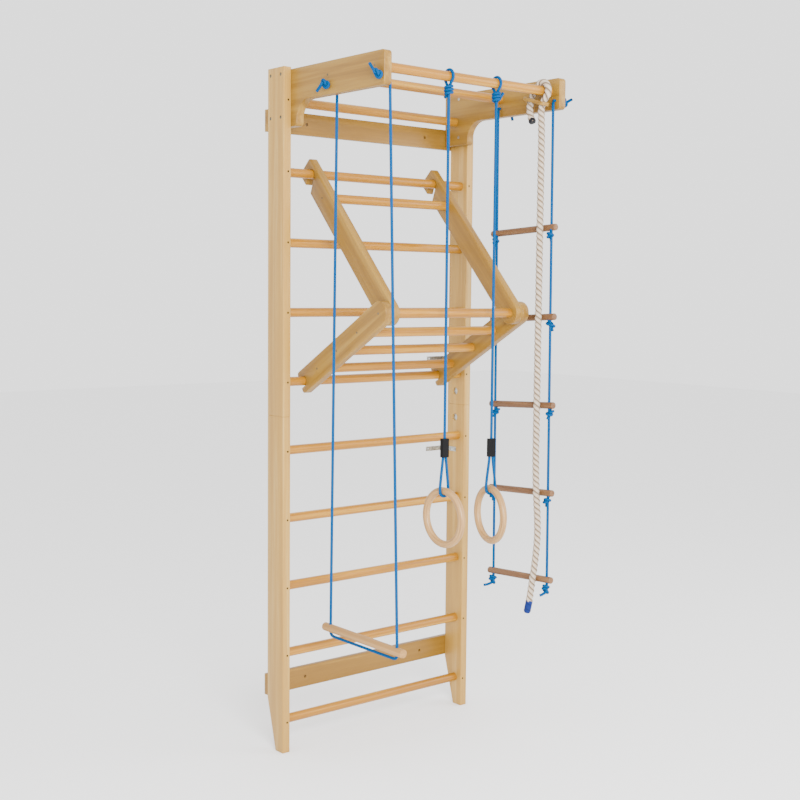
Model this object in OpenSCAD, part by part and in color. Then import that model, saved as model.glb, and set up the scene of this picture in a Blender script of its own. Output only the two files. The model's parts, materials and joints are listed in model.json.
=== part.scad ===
// Children's wall gym: wall bars with a monkey-bar overhang, a hook-on pull-up unit, a trapeze,
// two gym rings, a rope ladder and a climbing rope.
// X is across the width, -Y is the front, +Z is up. The origin is on the floor, at the wall, half way across.

/* [Frame] */
// Height of the uprights
frame_h = 2200; // [2150:10:2400]
// Width over the outer faces of the uprights
frame_w = 800; // [760:10:1000]
// Depth from the wall to the front of the overhang
frame_d = 580; // [560:5:660]
// Thickness of an upright
upright_t = 28; // [24:1:34]
// Depth of an upright from front to back
upright_d = 90; // [84:1:110]
// Depth of an upright's foot where it stands on the floor
foot_d = 42; // [30:1:80]
// Height at which the foot's taper begins
foot_taper_z = 168; // [100:1:170]

/* [Rungs and bars] */
// Diameter of every wall rung and bar
rung_dia = 30; // [26:1:33]
// Height of the lowest rung
rung_z0 = 100; // [90:1:120]
// Distance between rungs
rung_step = 222; // [216:1:226]
// Distance from an upright's front face to the rung axis
rung_y = 36; // [32:1:45]
// Depth of the blind hole that holds each end of a rung or bar
rung_let_in = 18; // [12:1:20]

/* [Crossboards] */
// Height of a crossboard
board_h = 70; // [60:1:90]
// Thickness of a crossboard
board_t = 18; // [15:1:22]
// Lower edge of the top crossboard
top_board_z = 2006; // [1990:1:2040]
// Lower edge of the bottom crossboard
bottom_board_z = 172; // [171:1:200]
// Distance from the middle to a wall screw hole
wall_hole_x = 250; // [150:5:340]
// Diameter of a wall screw hole
wall_hole_dia = 10; // [6:0.5:12]

/* [Overhang] */
// Height of a side panel's arm
arm_h = 100; // [90:1:120]
// Height of a side panel's leg, below its top edge
leg_h = 178; // [170:1:200]
// Radius of the curve between arm and leg
panel_fillet = 60; // [30:1:65]
// Distance from the front end to the front bar
front_bar_in = 46; // [40:1:60]
// Distance between the front and rear bars
bar_gap = 232; // [180:1:260]

/* [Pull-up unit] */
// Width of an arm of the unit
unit_arm_w = 75; // [70:1:80]
// Thickness of an arm of the unit
unit_arm_t = 28; // [22:1:30]
// Outside width over the upper arms
unit_w = 542; // [480:2:560]
// Distance of the elbow from the rung axis, towards the front
elbow_out = 394; // [380:1:400]
// Height of the elbow
elbow_z = 1437; // [1425:1:1450]
// Distance between the bars of the lower arms
lower_bar_step = 122; // [110:1:125]
// Width of the hook slot and of the lower notch
slot_w = 34; // [33:0.5:36]

/* [Hanging gear] */
// Diameter of the blue ropes
rope_dia = 9; // [7:0.5:9.5]
// Diameter of the climbing rope
climb_dia = 22; // [18:1:24]
// Outer diameter of a gym ring
ring_dia = 190; // [180:1:200]
// Thickness of a gym ring
ring_t = 23; // [20:1:26]
// Height of the rings' centres
ring_z = 800; // [650:5:940]
// Length of the trapeze bar
trapeze_len = 396; // [370:2:420]
// Height of the trapeze bar
trapeze_z = 443; // [350:1:700]
// Height of the lowest ladder rung
ladder_z0 = 549; // [500:1:600]
// Distance between ladder rungs
ladder_step = 290; // [270:1:300]
// Height of the climbing rope's lower end
climb_end_z = 437; // [380:1:470]

/* [Hidden] */
$fn = 48;

pine = "burlywood";
beech = "tan";
steel = "silver";
rope_blue = "dodgerblue";
cotton = "linen";

rope_r = rope_dia / 2;
climb_r = climb_dia / 2;

// Small clearances
fit = 0.05;          // a turned end in its blind hole, on the radius
run_gap = 0.3;       // between curved faces of pieces that move apart
eps = 1;             // overlap of a cutting tool past a face

// Main planes
side_x = frame_w / 2;                  // outer face of an upright
inner_x = side_x - upright_t;          // inner face of an upright
upright_back = -board_t;
upright_front = upright_back - upright_d;
rung_axis_y = upright_front + rung_y;
rung_r = rung_dia / 2;
rung_half = inner_x + rung_let_in;
seam_z = frame_h / 2;
function rung_z(i) = rung_z0 + rung_step * (10 - i);

// Overhang
panel_t = 28;
panel_x = inner_x - panel_t;           // inner face of a side panel
panel_top = frame_h - 6;
panel_front = -frame_d;
panel_leg_out = 30;                    // the leg stands this far in front of the upright
bar_z = panel_top - 41;
front_bar_y = panel_front + front_bar_in;
rear_bar_y = front_bar_y + bar_gap;
hole_z = bar_z - 31;                   // rope holes in the panels
hole_front_y = front_bar_y - 26;
hole_rear_y = rear_bar_y;
hole_r = rope_r + 0.5;

// Fixings
screw_head_r = 3.2;
screw_r = 2.2;
screw_hole_r = screw_r + fit;
rung_screw_x = inner_x + 10;
board_screw_xs = [upright_t / 2];
board_screw_zs = [for (z = [bottom_board_z, top_board_z], e = [-20, 20]) z + board_h / 2 + e];
bolt_head_r = 5.5;
bolt_r = 4;
bolt_ys = [upright_front + 18, upright_back - 15];
bolt_zs = [panel_top - 17, panel_top - 150];
splice_out = 47;                       // nut of the splice bolt, above and below the seam
splice_y = upright_front + 50;
splice_hole_r = 13;
bracket_w = 16;
bracket_t = 2;
bracket_reach = 86;
bracket_zs = [seam_z - 163, seam_z + 163];
bracket_hole_r = 2.5;
bracket_screw_y = upright_front + 47;

// Pull-up unit
elbow = [rung_axis_y - elbow_out, elbow_z];
unit_inner = unit_w / 2 - unit_arm_t;  // inner face of an upper arm
unit_mid = unit_w / 2;                 // joint face between upper and lower arm
unit_outer = unit_mid + unit_arm_t;    // outer face of a lower arm
hook_at = [rung_axis_y, rung_z(2)];
rest_at = [rung_axis_y, rung_z(5)];
hook_off = 7;                          // the hook rung lies this far in front of the arm's axis
upper_run = norm(hook_at - elbow);
upper_angle = atan2(hook_at[1] - elbow[1], hook_at[0] - elbow[0]) - asin(hook_off / upper_run);
lower_run = norm(rest_at - elbow);
lower_angle = atan2(rest_at[1] - elbow[1], rest_at[0] - elbow[0]);
arm_past_hook = 45;
arm_past_rest = 20;
hook_angle = -70;                      // the hook slot opens down and to the back
slot_drop = slot_w / 2 - rung_r - run_gap;
cross_bar_run = 490;
bar_let_in = 14;
function along(angle, run) = [elbow[0] + run * cos(angle), elbow[1] + run * sin(angle)];

// Hanging gear
hang_x = panel_x - 8.5;                // ropes from the panels hang this far inside
trapeze_r = 13;
trapeze_hole_out = 165;
trapeze_y = (hole_front_y + hole_rear_y) / 2;
ring_x = [-88, 109];
ring_turn = [0, -13];
ring_r = ring_dia / 2 - ring_t / 2;
adjuster = [24, 14, 58];
function adjuster_z(k) = k == 0 ? 1023 : 1010;
ladder_r = 11;
ladder_len = 300;
ladder_tilt = 3;                       // the rungs hang a little lower at the back
ladder_lean = 11;                      // and the ladder a little forward at its foot
climb_x = 311;

// ---------- shared shapes ----------

// A round bar along X from -half to half, at a point [y, z]
module bar_x(half, r, at) {
    translate([-half, at[0], at[1]]) rotate([0, 90, 0]) cylinder(r = r, h = 2 * half);
}

// A round rod along X from x0 to x1
module rod_x(x0, x1, r, y, z) {
    translate([min(x0, x1), y, z]) rotate([0, 90, 0]) cylinder(r = r, h = abs(x1 - x0));
}

// A round rod along Y from y0 to y1
module rod_y(y0, y1, r, x, z) {
    translate([x, max(y0, y1), z]) rotate([90, 0, 0]) cylinder(r = r, h = abs(y1 - y0));
}

// An outline in the side view, given as [y, z], made into a plate between x0 and x1
module side_plate(x0, x1) {
    translate([min(x0, x1), 0, 0]) rotate([90, 0, 90]) linear_extrude(abs(x1 - x0)) children();
}

// A plate with its four corners rounded, from the origin
module round_rect(size, r) {
    translate([r, 0]) square([size[0] - 2 * r, size[1]]);
    translate([0, r]) square([size[0], size[1] - 2 * r]);
    for (x = [r, size[0] - r], y = [r, size[1] - r]) translate([x, y]) circle(r);
}

// A tube along a route of points. rs gives the radius at each point.
// The vector side is square to the route's plane.
function unit(v) = v / norm(v);
function tangent(p, i) =
    i == 0 ? unit(p[1] - p[0]) :
    i == len(p) - 1 ? unit(p[i] - p[i - 1]) :
    unit(unit(p[i + 1] - p[i]) + unit(p[i] - p[i - 1]));
module tube(p, rs, side, sides = 10) {
    n = len(p);
    rings = [for (i = [0:n - 1]) let (t = tangent(p, i), u = unit(cross(side, t)), w = cross(t, u))
        for (k = [0:sides - 1]) p[i] + rs[i] * (cos(360 * k / sides) * u + sin(360 * k / sides) * w)];
    walls = [for (i = [0:n - 2], k = [0:sides - 1]) let (j = (k + 1) % sides)
        each [[i * sides + k, (i + 1) * sides + k, (i + 1) * sides + j],
              [i * sides + k, (i + 1) * sides + j, i * sides + j]]];
    first = [for (k = [0:sides - 1]) k];
    last = [for (k = [sides - 1:-1:0]) (n - 1) * sides + k];
    polyhedron(rings, concat(walls, [first], [last]), convexity = 6);
}
function same(r, p) = [for (q = p) r];

// ---------- uprights ----------

module upright_outline() {
    polygon([
        [upright_front, 0], [upright_front + foot_d, 0], [upright_back, foot_taper_z],
        [upright_back, frame_h], [upright_front, frame_h]
    ]);
}

// One half of an upright on the side s (-1 left, 1 right), between two heights
module upright_half(s, z0, z1) {
    difference() {
        intersection() {
            side_plate(s * inner_x, s * side_x) upright_outline();
            translate([-side_x, upright_front, z0]) cube([frame_w, upright_d, z1 - z0]);
        }
        for (i = [1:10]) {
            rod_x(s * (inner_x - eps), s * rung_half, rung_r + fit, rung_axis_y, rung_z(i));
            rod_y(upright_front - eps, rung_axis_y, screw_hole_r, s * rung_screw_x, rung_z(i));
            rod_y(upright_front - eps, upright_front + 3, screw_head_r + fit, s * rung_screw_x, rung_z(i));
        }
        for (z = bolt_zs, y = bolt_ys) {
            rod_x(s * (inner_x - eps), s * (side_x + eps), bolt_r + fit, y, z);
            rod_x(s * (side_x - 4), s * (side_x + eps), bolt_head_r + fit, y, z);
        }
        for (e = [-1, 1])
            rod_x(s * (inner_x - eps), s * (inner_x + 20), splice_hole_r, splice_y, seam_z + e * splice_out);
        translate([s * (inner_x + upright_t / 2), splice_y, seam_z - splice_out])
            cylinder(r = bolt_r + fit, h = 2 * splice_out);
        if (s > 0) for (z = bracket_zs)
            rod_x(s * (inner_x - eps), s * (inner_x + 20), screw_hole_r, bracket_screw_y, z);
        for (z = board_screw_zs, d = board_screw_xs)
            rod_y(upright_back + eps, upright_back - 32, screw_hole_r, s * (side_x - d), z);
    }
}
module left_upright_upper() { color(pine) upright_half(-1, seam_z, frame_h); }
module left_upright_lower() { color(pine) upright_half(-1, 0, seam_z); }
module right_upright_upper() { color(pine) upright_half(1, seam_z, frame_h); }
module right_upright_lower() { color(pine) upright_half(1, 0, seam_z); }

// A bolt across the seam of each upright, with a cross nut at each end
module splice_bolts() {
    color(steel) for (s = [-1, 1]) translate([s * (inner_x + upright_t / 2), splice_y, seam_z - splice_out])
        cylinder(r = bolt_r, h = 2 * splice_out);
}
module splice_nuts() {
    color(steel) for (s = [-1, 1], e = [-1, 1]) difference() {
        rod_x(s * (inner_x + 6), s * (inner_x + 20), splice_hole_r - fit, splice_y, seam_z + e * splice_out);
        translate([s * (inner_x + upright_t / 2), splice_y, seam_z - splice_out])
            cylinder(r = bolt_r + fit, h = 2 * splice_out);
    }
}

// ---------- rungs ----------

module wall_rung(i) {
    color(pine) difference() {
        bar_x(rung_half, rung_r, [rung_axis_y, rung_z(i)]);
        for (s = [-1, 1]) rod_y(upright_front - eps, rung_axis_y, screw_hole_r, s * rung_screw_x, rung_z(i));
    }
}
module rung_1() { wall_rung(1); }
module rung_2() { wall_rung(2); }
module rung_3() { wall_rung(3); }
module rung_4() { wall_rung(4); }
module rung_5() { wall_rung(5); }
module rung_6() { wall_rung(6); }
module rung_7() { wall_rung(7); }
module rung_8() { wall_rung(8); }
module rung_9() { wall_rung(9); }
module rung_10() { wall_rung(10); }

// Small screws from the front, one through each rung end
module rung_screws() {
    color("dimgray") for (i = [1:10], s = [-1, 1]) {
        rod_y(upright_front + 0.5, rung_axis_y, screw_r, s * rung_screw_x, rung_z(i));
        rod_y(upright_front + 0.5, upright_front + 3, screw_head_r, s * rung_screw_x, rung_z(i));
    }
}

// A screw along X from x0 to x1 with its head at x0. With g above 0 it is the hole for that screw.
module screw_x(x0, x1, y, z, g = 0) {
    d = sign(x1 - x0);
    rod_x(x0 - (g > 0 ? d * eps : 0), x1, screw_r + g, y, z);
    rod_x(x0 - (g > 0 ? d * eps : 0), x0 + d * 3, screw_head_r + g, y, z);
}

// ---------- crossboards ----------

module crossboard(z0) {
    color(pine) difference() {
        translate([-side_x, -board_t, z0]) cube([frame_w, board_t, board_h]);
        for (s = [-1, 1]) rod_y(eps, -board_t - eps, wall_hole_dia / 2, s * wall_hole_x, z0 + board_h / 2);
        for (s = [-1, 1], d = board_screw_xs, e = [-20, 20])
            rod_y(eps, -board_t - eps, screw_hole_r, s * (side_x - d), z0 + board_h / 2 + e);
        for (s = [-1, 1], d = board_screw_xs, e = [-20, 20])
            rod_y(eps, -3, screw_head_r + fit, s * (side_x - d), z0 + board_h / 2 + e);
    }
}
module top_board() { crossboard(top_board_z); }
module bottom_board() { crossboard(bottom_board_z); }

// Screws from the back, through the crossboards into the uprights
module board_screws() {
    color(steel) for (s = [-1, 1], d = board_screw_xs, z = board_screw_zs) {
        rod_y(0, upright_back - 32, screw_r, s * (side_x - d), z);
        rod_y(0, -3, screw_head_r, s * (side_x - d), z);
    }
}

// ---------- overhang ----------

module panel_outline() {
    leg_front = upright_front - panel_leg_out;
    arm_low = panel_top - arm_h;
    r = 12;
    difference() {
        union() {
            translate([panel_front, arm_low]) round_rect([upright_back - panel_front - 2, arm_h], r);
            translate([upright_back - 40, arm_low]) square([40, arm_h]);
            translate([leg_front, panel_top - leg_h]) round_rect([upright_back - leg_front, leg_h], r);
            translate([leg_front - panel_fillet, arm_low - panel_fillet])
                square([panel_fillet + 20, panel_fillet + 20]);
        }
        translate([leg_front - panel_fillet, arm_low - panel_fillet]) circle(panel_fillet);
        translate([leg_front - panel_fillet - 20, arm_low - panel_fillet - 20])
            square([panel_fillet + 20, 20]);
    }
}
module side_panel(s) {
    color(pine) difference() {
        side_plate(s * panel_x, s * inner_x) panel_outline();
        rod_x(s * (panel_x - eps), s * (inner_x + eps), rung_r + fit, rung_axis_y, rung_z(1));
        for (y = [front_bar_y, rear_bar_y]) {
            rod_x(s * (panel_x - eps), s * (panel_x + rung_let_in), rung_r + fit, y, bar_z);
            screw_x(s * inner_x, s * (panel_x + 2), y, bar_z, fit);
        }
        for (y = [hole_front_y, hole_rear_y])
            rod_x(s * (panel_x - eps), s * (inner_x + eps), hole_r, y, hole_z);
        for (z = bolt_zs, y = bolt_ys) {
            rod_x(s * (panel_x - eps), s * (inner_x + eps), bolt_r + fit, y, z);
            rod_x(s * (panel_x - eps), s * (panel_x + 12), 5.5 + fit, y, z);
        }
    }
}
module left_panel() { side_panel(-1); }
module right_panel() { side_panel(1); }

// Bolts from the uprights' outer faces into sleeve nuts in the panels
module panel_bolts() {
    color("dimgray") for (s = [-1, 1], z = bolt_zs, y = bolt_ys) {
        rod_x(s * (panel_x + 2), s * (side_x - 2), bolt_r, y, z);
        rod_x(s * (side_x - 4), s * (side_x - 1), bolt_head_r, y, z);
    }
}
module panel_nuts() {
    color(steel) for (s = [-1, 1], z = bolt_zs, y = bolt_ys) difference() {
        rod_x(s * panel_x, s * (panel_x + 12), 5.5, y, z);
        rod_x(s * (panel_x + 1), s * (panel_x + 13), bolt_r + fit, y, z);
    }
}

module overhang_bar(y) {
    color(pine) difference() {
        bar_x(panel_x + rung_let_in, rung_r, [y, bar_z]);
        for (s = [-1, 1]) screw_x(s * inner_x, s * (panel_x + 2), y, bar_z, fit);
    }
}
module front_bar() { overhang_bar(front_bar_y); }
module rear_bar() { overhang_bar(rear_bar_y); }
module bar_screws() {
    color("dimgray") for (s = [-1, 1], y = [front_bar_y, rear_bar_y])
        screw_x(s * inner_x, s * (panel_x + 2), y, bar_z);
}

// ---------- wall brackets ----------

// Two brackets on the right upright, their free legs against the wall
module wall_brackets() {
    color(steel) for (z = bracket_zs) difference() {
        union() {
            translate([inner_x - bracket_reach, -bracket_t, z - bracket_w / 2])
                cube([bracket_reach, bracket_t, bracket_w]);
            translate([inner_x - bracket_t, bracket_screw_y - 6, z - bracket_w / 2])
                cube([bracket_t, -bracket_screw_y + 6, bracket_w]);
        }
        rod_y(eps, -bracket_t - eps, bracket_hole_r, inner_x - bracket_reach + 10, z);
        rod_x(inner_x - bracket_t - eps, inner_x + eps, screw_hole_r, bracket_screw_y, z);
    }
}
module bracket_screws() {
    color(steel) for (z = bracket_zs) {
        rod_x(inner_x - bracket_t, inner_x + 20, screw_r, bracket_screw_y, z);
        rod_x(inner_x - bracket_t, inner_x - bracket_t - 2, screw_head_r, bracket_screw_y, z);
    }
}

// ---------- pull-up unit ----------

module arm_outline(angle, run) {
    w = unit_arm_w;
    translate(elbow) rotate(angle) {
        circle(w / 2);
        translate([0, -w / 2]) square([run - 10, w]);
        translate([0, 10 - w / 2]) square([run, w - 20]);
        for (e = [-1, 1]) translate([run - 10, e * (w / 2 - 10)]) circle(10);
    }
}
// A slot with a round end over a rung, open along the given angle
module slot_outline(at, angle, len) {
    translate(at) rotate(angle) translate([slot_drop, 0]) {
        circle(slot_w / 2);
        translate([0, -slot_w / 2]) square([len, slot_w]);
    }
}
module upper_arm(s) {
    color(pine) difference() {
        side_plate(s * unit_inner, s * unit_mid) difference() {
            arm_outline(upper_angle, upper_run + arm_past_hook);
            slot_outline(hook_at, hook_angle, 90);
        }
        rod_x(s * (unit_inner - eps), s * (unit_inner + bar_let_in), rung_r + fit, elbow[0], elbow[1]);
        cross = along(upper_angle, cross_bar_run);
        rod_x(s * (unit_inner - eps), s * (unit_inner + bar_let_in), rung_r + fit, cross[0], cross[1]);
        screw_x(s * unit_mid, s * (unit_inner - 20), cross[0], cross[1], fit);
        rod_x(s * (unit_inner - eps), s * (unit_mid + eps), screw_hole_r, elbow[0], elbow[1]);
    }
}
module lower_arm(s) {
    color(pine) difference() {
        side_plate(s * unit_mid, s * unit_outer) difference() {
            arm_outline(lower_angle, lower_run + arm_past_rest);
            slot_outline(rest_at, lower_angle, 60);
        }
        for (k = [1:3]) {
            at = along(lower_angle, k * lower_bar_step);
            rod_x(s * (unit_mid - eps), s * (unit_mid + bar_let_in), rung_r + fit, at[0], at[1]);
            screw_x(s * unit_outer, s * (unit_mid - 10), at[0], at[1], fit);
        }
        screw_x(s * unit_outer, s * (unit_mid - eps), elbow[0], elbow[1], fit);
    }
}
module left_upper_arm() { upper_arm(-1); }
module right_upper_arm() { upper_arm(1); }
module left_lower_arm() { lower_arm(-1); }
module right_lower_arm() { lower_arm(1); }

module upper_cross_bar() {
    cross = along(upper_angle, cross_bar_run);
    color(pine) difference() {
        bar_x(unit_inner + bar_let_in, rung_r, cross);
        for (s = [-1, 1])
            rod_x(s * (unit_mid + eps), s * (unit_inner - 20), screw_hole_r, cross[0], cross[1]);
    }
}
module elbow_bar() {
    color(pine) difference() {
        bar_x(unit_inner + bar_let_in, rung_r, elbow);
        for (s = [-1, 1])
            rod_x(s * (unit_mid + eps), s * (unit_inner - 20), screw_hole_r, elbow[0], elbow[1]);
    }
}
module lower_bar(k) {
    at = along(lower_angle, k * lower_bar_step);
    color(pine) difference() {
        bar_x(unit_mid + bar_let_in, rung_r, at);
        for (s = [-1, 1]) rod_x(s * (unit_mid + 20), s * (unit_mid - 10), screw_hole_r, at[0], at[1]);
    }
}
module lower_bar_1() { lower_bar(1); }
module lower_bar_2() { lower_bar(2); }
module lower_bar_3() { lower_bar(3); }
module unit_screws() {
    cross = along(upper_angle, cross_bar_run);
    color("dimgray") for (s = [-1, 1]) {
        screw_x(s * unit_outer, s * (unit_inner - 20), elbow[0], elbow[1]);
        screw_x(s * unit_mid, s * (unit_inner - 20), cross[0], cross[1]);
        for (k = [1:3]) {
            at = along(lower_angle, k * lower_bar_step);
            screw_x(s * unit_outer, s * (unit_mid - 10), at[0], at[1]);
        }
    }
}

// ---------- trapeze ----------

trapeze_hole_ys = [hole_front_y - 56, hole_rear_y + 20];
drop_gap = rope_r + 0.6;               // a hanging rope starts this far below its pivot
module trapeze_bar() {
    mid = (trapeze_hole_ys[0] + trapeze_hole_ys[1]) / 2;
    color(beech) difference() {
        rod_y(mid - trapeze_len / 2, mid + trapeze_len / 2, trapeze_r, -hang_x, trapeze_z);
        for (y = trapeze_hole_ys)
            translate([-hang_x, y, trapeze_z - 20]) cylinder(r = rope_r + 0.8, h = 40);
    }
}
module trapeze_rope() {
    a = trapeze_hole_ys[0];
    b = trapeze_hole_ys[1];
    z = trapeze_z - trapeze_r;
    path = [for (q = [
        [hole_rear_y, hole_z - drop_gap], [hole_rear_y, hole_z - drop_gap - 4], [b, z + 30], [b, z + 2],
        [b - 2, z - 4], [b - 8, z - 9], [b - 20, z - 11], [b - 60, z - 11],
        [a + 60, z - 11], [a + 20, z - 11], [a + 8, z - 9], [a + 2, z - 4],
        [a, z + 2], [a, z + 30], [hole_front_y, hole_z - drop_gap - 4], [hole_front_y, hole_z - drop_gap]
    ]) [-hang_x, q[0], q[1]]];
    r = rope_r;
    color(rope_blue) tube(path, [for (k = [0:15]) k == 0 || k == 15 ? r - 1 : r], [1, 0, 0]);
}

// The ropes' ends through the side panels, each with its knot on the outer face
module panel_rope_ends() {
    r = rope_r;
    color(rope_blue) for (s = [-1, 1], y = [hole_front_y, hole_rear_y]) {
        route = [
            [hang_x - 4, 1.5], [hang_x - 3, r - 1], [hang_x, r], [inner_x + 0.3, r],
            [inner_x + 1, r + 3], [inner_x + 5, r + 6], [inner_x + 11, r + 6], [inner_x + 16, r + 2],
            [inner_x + 17, r], [inner_x + 27, r]
        ];
        tube([for (q = route) [s * q[0], y, hole_z]], [for (q = route) q[1]], [0, 1, 0]);
    }
}

// ---------- rings ----------

module at_ring(k) { translate([ring_x[k], front_bar_y, 0]) rotate([0, 0, ring_turn[k]]) children(); }
function ring_mid_z(k) = ring_z + (k == 0 ? 5 : -6);

module gym_ring(k) {
    color(beech) at_ring(k) translate([0, 0, ring_mid_z(k)]) rotate([0, 90, 0])
        rotate_extrude($fn = 64) translate([ring_r, 0]) circle(ring_t / 2, $fn = 24);
}
module ring_left() { gym_ring(0); }
module ring_right() { gym_ring(1); }

// The strap adjuster: one hole from above and two from below
module rope_adjuster(k) {
    color("dimgray") at_ring(k) difference() {
        translate([-adjuster[0] / 2, -adjuster[1] / 2, adjuster_z(k) - adjuster[2] / 2]) cube(adjuster);
        translate([0, 0, adjuster_z(k) + 10]) cylinder(r = rope_r + run_gap, h = 30);
        for (s = [-1, 1]) translate([s * 6, 0, adjuster_z(k) - 40]) cylinder(r = rope_r + fit, h = 30);
    }
}
module adjuster_left() { rope_adjuster(0); }
module adjuster_right() { rope_adjuster(1); }

// The rope from the front bar down to the adjuster, with its loop round the bar and the knot below it
module ring_rope(k) {
    r = rope_r;
    loop_r = rung_r + run_gap + r;
    arc = [for (a = [-20:20:200]) [front_bar_y + loop_r * cos(a), bar_z + loop_r * sin(a), r]];
    route = concat(
        [[front_bar_y + 10, bar_z - 25, r], [front_bar_y + 14, bar_z - 17, r]], arc,
        [[front_bar_y - 14, bar_z - 17, r], [front_bar_y - 7, bar_z - 27, r],
         [front_bar_y - 3, bar_z - 33, r + 3], [front_bar_y, bar_z - 38, r + 10],
         [front_bar_y, bar_z - 50, r + 10], [front_bar_y, bar_z - 58, r],
         [front_bar_y, adjuster_z(k) + 12, r]]);
    color(rope_blue) tube([for (q = route) [ring_x[k], q[0], q[1]]], [for (q = route) q[2]], [1, 0, 0]);
}
module ring_rope_left() { ring_rope(0); }
module ring_rope_right() { ring_rope(1); }

// The doubled rope from the adjuster round the top of the ring
module ring_loop(k) {
    r = rope_r;
    wrap = ring_t / 2 + run_gap + r;
    top = ring_mid_z(k) + ring_r;
    z0 = adjuster_z(k) - 12;
    mouth = adjuster_z(k) - adjuster[2] / 2 - 3;
    arc = [for (a = [180:22.5:360]) [wrap * cos(a), top + wrap * sin(a)]];
    route = concat([[-6, z0], [-6, mouth]], arc,
        [[6, mouth], [6, z0]]);
    color(rope_blue) at_ring(k) tube([for (q = route) [q[0], 0, q[1]]], same(r, route), [0, 1, 0]);
}
module ring_loop_left() { ring_loop(0); }
module ring_loop_right() { ring_loop(1); }

// ---------- ladder ----------

function ladder_z(i) = ladder_z0 + ladder_step * (5 - i);
function lean_at(z) = -ladder_lean * (hole_z - z) / (hole_z - ladder_z0);
ladder_mid = (hole_front_y + hole_rear_y) / 2;
module ladder_rung(i) {
    z = ladder_z(i);
    color(beech) difference() {
        translate([hang_x, ladder_mid + lean_at(z), z]) rotate([-ladder_tilt, 0, 0])
            rod_y(-ladder_len / 2, ladder_len / 2, ladder_r, 0, 0);
        for (y = [hole_front_y, hole_rear_y])
            translate([hang_x, y + lean_at(z), z - 30]) cylinder(r = rope_r + 0.5, h = 60);
    }
}
module ladder_rung_1() { ladder_rung(1); }
module ladder_rung_2() { ladder_rung(2); }
module ladder_rung_3() { ladder_rung(3); }
module ladder_rung_4() { ladder_rung(4); }
module ladder_rung_5() { ladder_rung(5); }

// One side rope of the ladder, with a knot under each rung and a longer one under the lowest
module ladder_rope(y) {
    r = rope_r;
    drop = (y - ladder_mid) * tan(ladder_tilt);
    knots = [for (i = [1:5]) let (z = ladder_z(i) - drop - ladder_r - 0.8, h = i < 5 ? 18 : 36)
        each [[z, r], [z - 3, r + 5], [z - h + 3, r + 5], [z - h, r]]];
    route = concat([[hole_z - drop_gap, r - 1], [hole_z - drop_gap - 4, r]], knots,
        [[ladder_z(5) - ladder_r - 75, r]]);
    path = [for (q = route) [hang_x, y + lean_at(q[0]), q[0]]];
    color(rope_blue) tube(path, [for (q = route) q[1]], [1, 0, 0]);
}
module ladder_rope_front() { ladder_rope(hole_front_y); }
module ladder_rope_rear() { ladder_rope(hole_rear_y); }

// ---------- climbing rope ----------

toggle_at = [27, -31];                 // from the front bar, towards the back and down
toggle_tilt = 16;
toggle_holes = [-33.5, 25];
toggle = [38, 104, 12];
module rope_toggle() {
    color(beech) translate([climb_x, front_bar_y + toggle_at[0], bar_z + toggle_at[1]])
        rotate([toggle_tilt, 0, 0]) difference() {
            translate([-toggle[0] / 2, -toggle[1] / 2, -toggle[2] / 2])
                linear_extrude(toggle[2]) round_rect([toggle[0], toggle[1]], 17);
            for (y = toggle_holes) translate([0, y, -20]) cylinder(r = climb_r + 2.5, h = 40);
        }
}
// The short tail hangs behind, the long one below the bar
module climbing_rope() {
    r = climb_r;
    y = front_bar_y;
    loop_r = rung_r + 0.8 + r;
    arc = [for (a = [30:15:180]) [y + loop_r * cos(a), bar_z + loop_r * sin(a)]];
    route = concat(
        [[y + 57, bar_z - 88], [y + 55, bar_z - 56], [y + 51, bar_z - 26], [y + 37, bar_z - 3]], arc,
        [[y - 24.5, bar_z - 14], [y - 10, bar_z - 31], [y - 1, bar_z - 48], [y + 3, bar_z - 66],
         [y + 1, bar_z - 110], [y, bar_z - 160], [y, 960], [y - 4, 860], [y - 12, 760], [y - 13, 690],
         [y - 4, 610], [y + 8, 540], [y + 19, climb_end_z + 40]]);
    color(cotton) tube([for (q = route) [climb_x, q[0], q[1]]], same(r, route), [1, 0, 0], 12);
}
// Tape round the rope's lower end
module rope_tape() {
    end = [for (q = [[19, 40], [29, 0]]) [climb_x, front_bar_y + q[0], climb_end_z + q[1]]];
    color(rope_blue) tube(end, [climb_r, climb_r - 1], [1, 0, 0], 12);
}

// ---------- assembly ----------
left_upright_upper();
left_upright_lower();
right_upright_upper();
right_upright_lower();
rung_1();
rung_2();
rung_3();
rung_4();
rung_5();
rung_6();
rung_7();
rung_8();
rung_9();
rung_10();
rung_screws();
splice_bolts();
splice_nuts();
top_board();
bottom_board();
board_screws();
left_panel();
right_panel();
panel_bolts();
panel_nuts();
front_bar();
rear_bar();
bar_screws();
wall_brackets();
bracket_screws();
left_upper_arm();
right_upper_arm();
left_lower_arm();
right_lower_arm();
upper_cross_bar();
elbow_bar();
lower_bar_1();
lower_bar_2();
lower_bar_3();
unit_screws();
trapeze_bar();
trapeze_rope();
panel_rope_ends();
ring_left();
ring_right();
adjuster_left();
adjuster_right();
ring_rope_left();
ring_rope_right();
ring_loop_left();
ring_loop_right();
ladder_rung_1();
ladder_rung_2();
ladder_rung_3();
ladder_rung_4();
ladder_rung_5();
ladder_rope_front();
ladder_rope_rear();
climbing_rope();
rope_toggle();
rope_tape();
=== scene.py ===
# %% [markdown]
# A wooden wall gym: wall bars with a monkey-bar overhang, a hook-on pull-up unit and hanging gear.
# The CAD model gives every wooden and metal piece its true size and its joints. This script gives the
# pieces their looks: eased edges, pine and beech with grain, braided and twisted rope, tied knots.

import json
import math

import bmesh
import bpy
import numpy as np
from mathutils import Matrix, Vector


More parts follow.
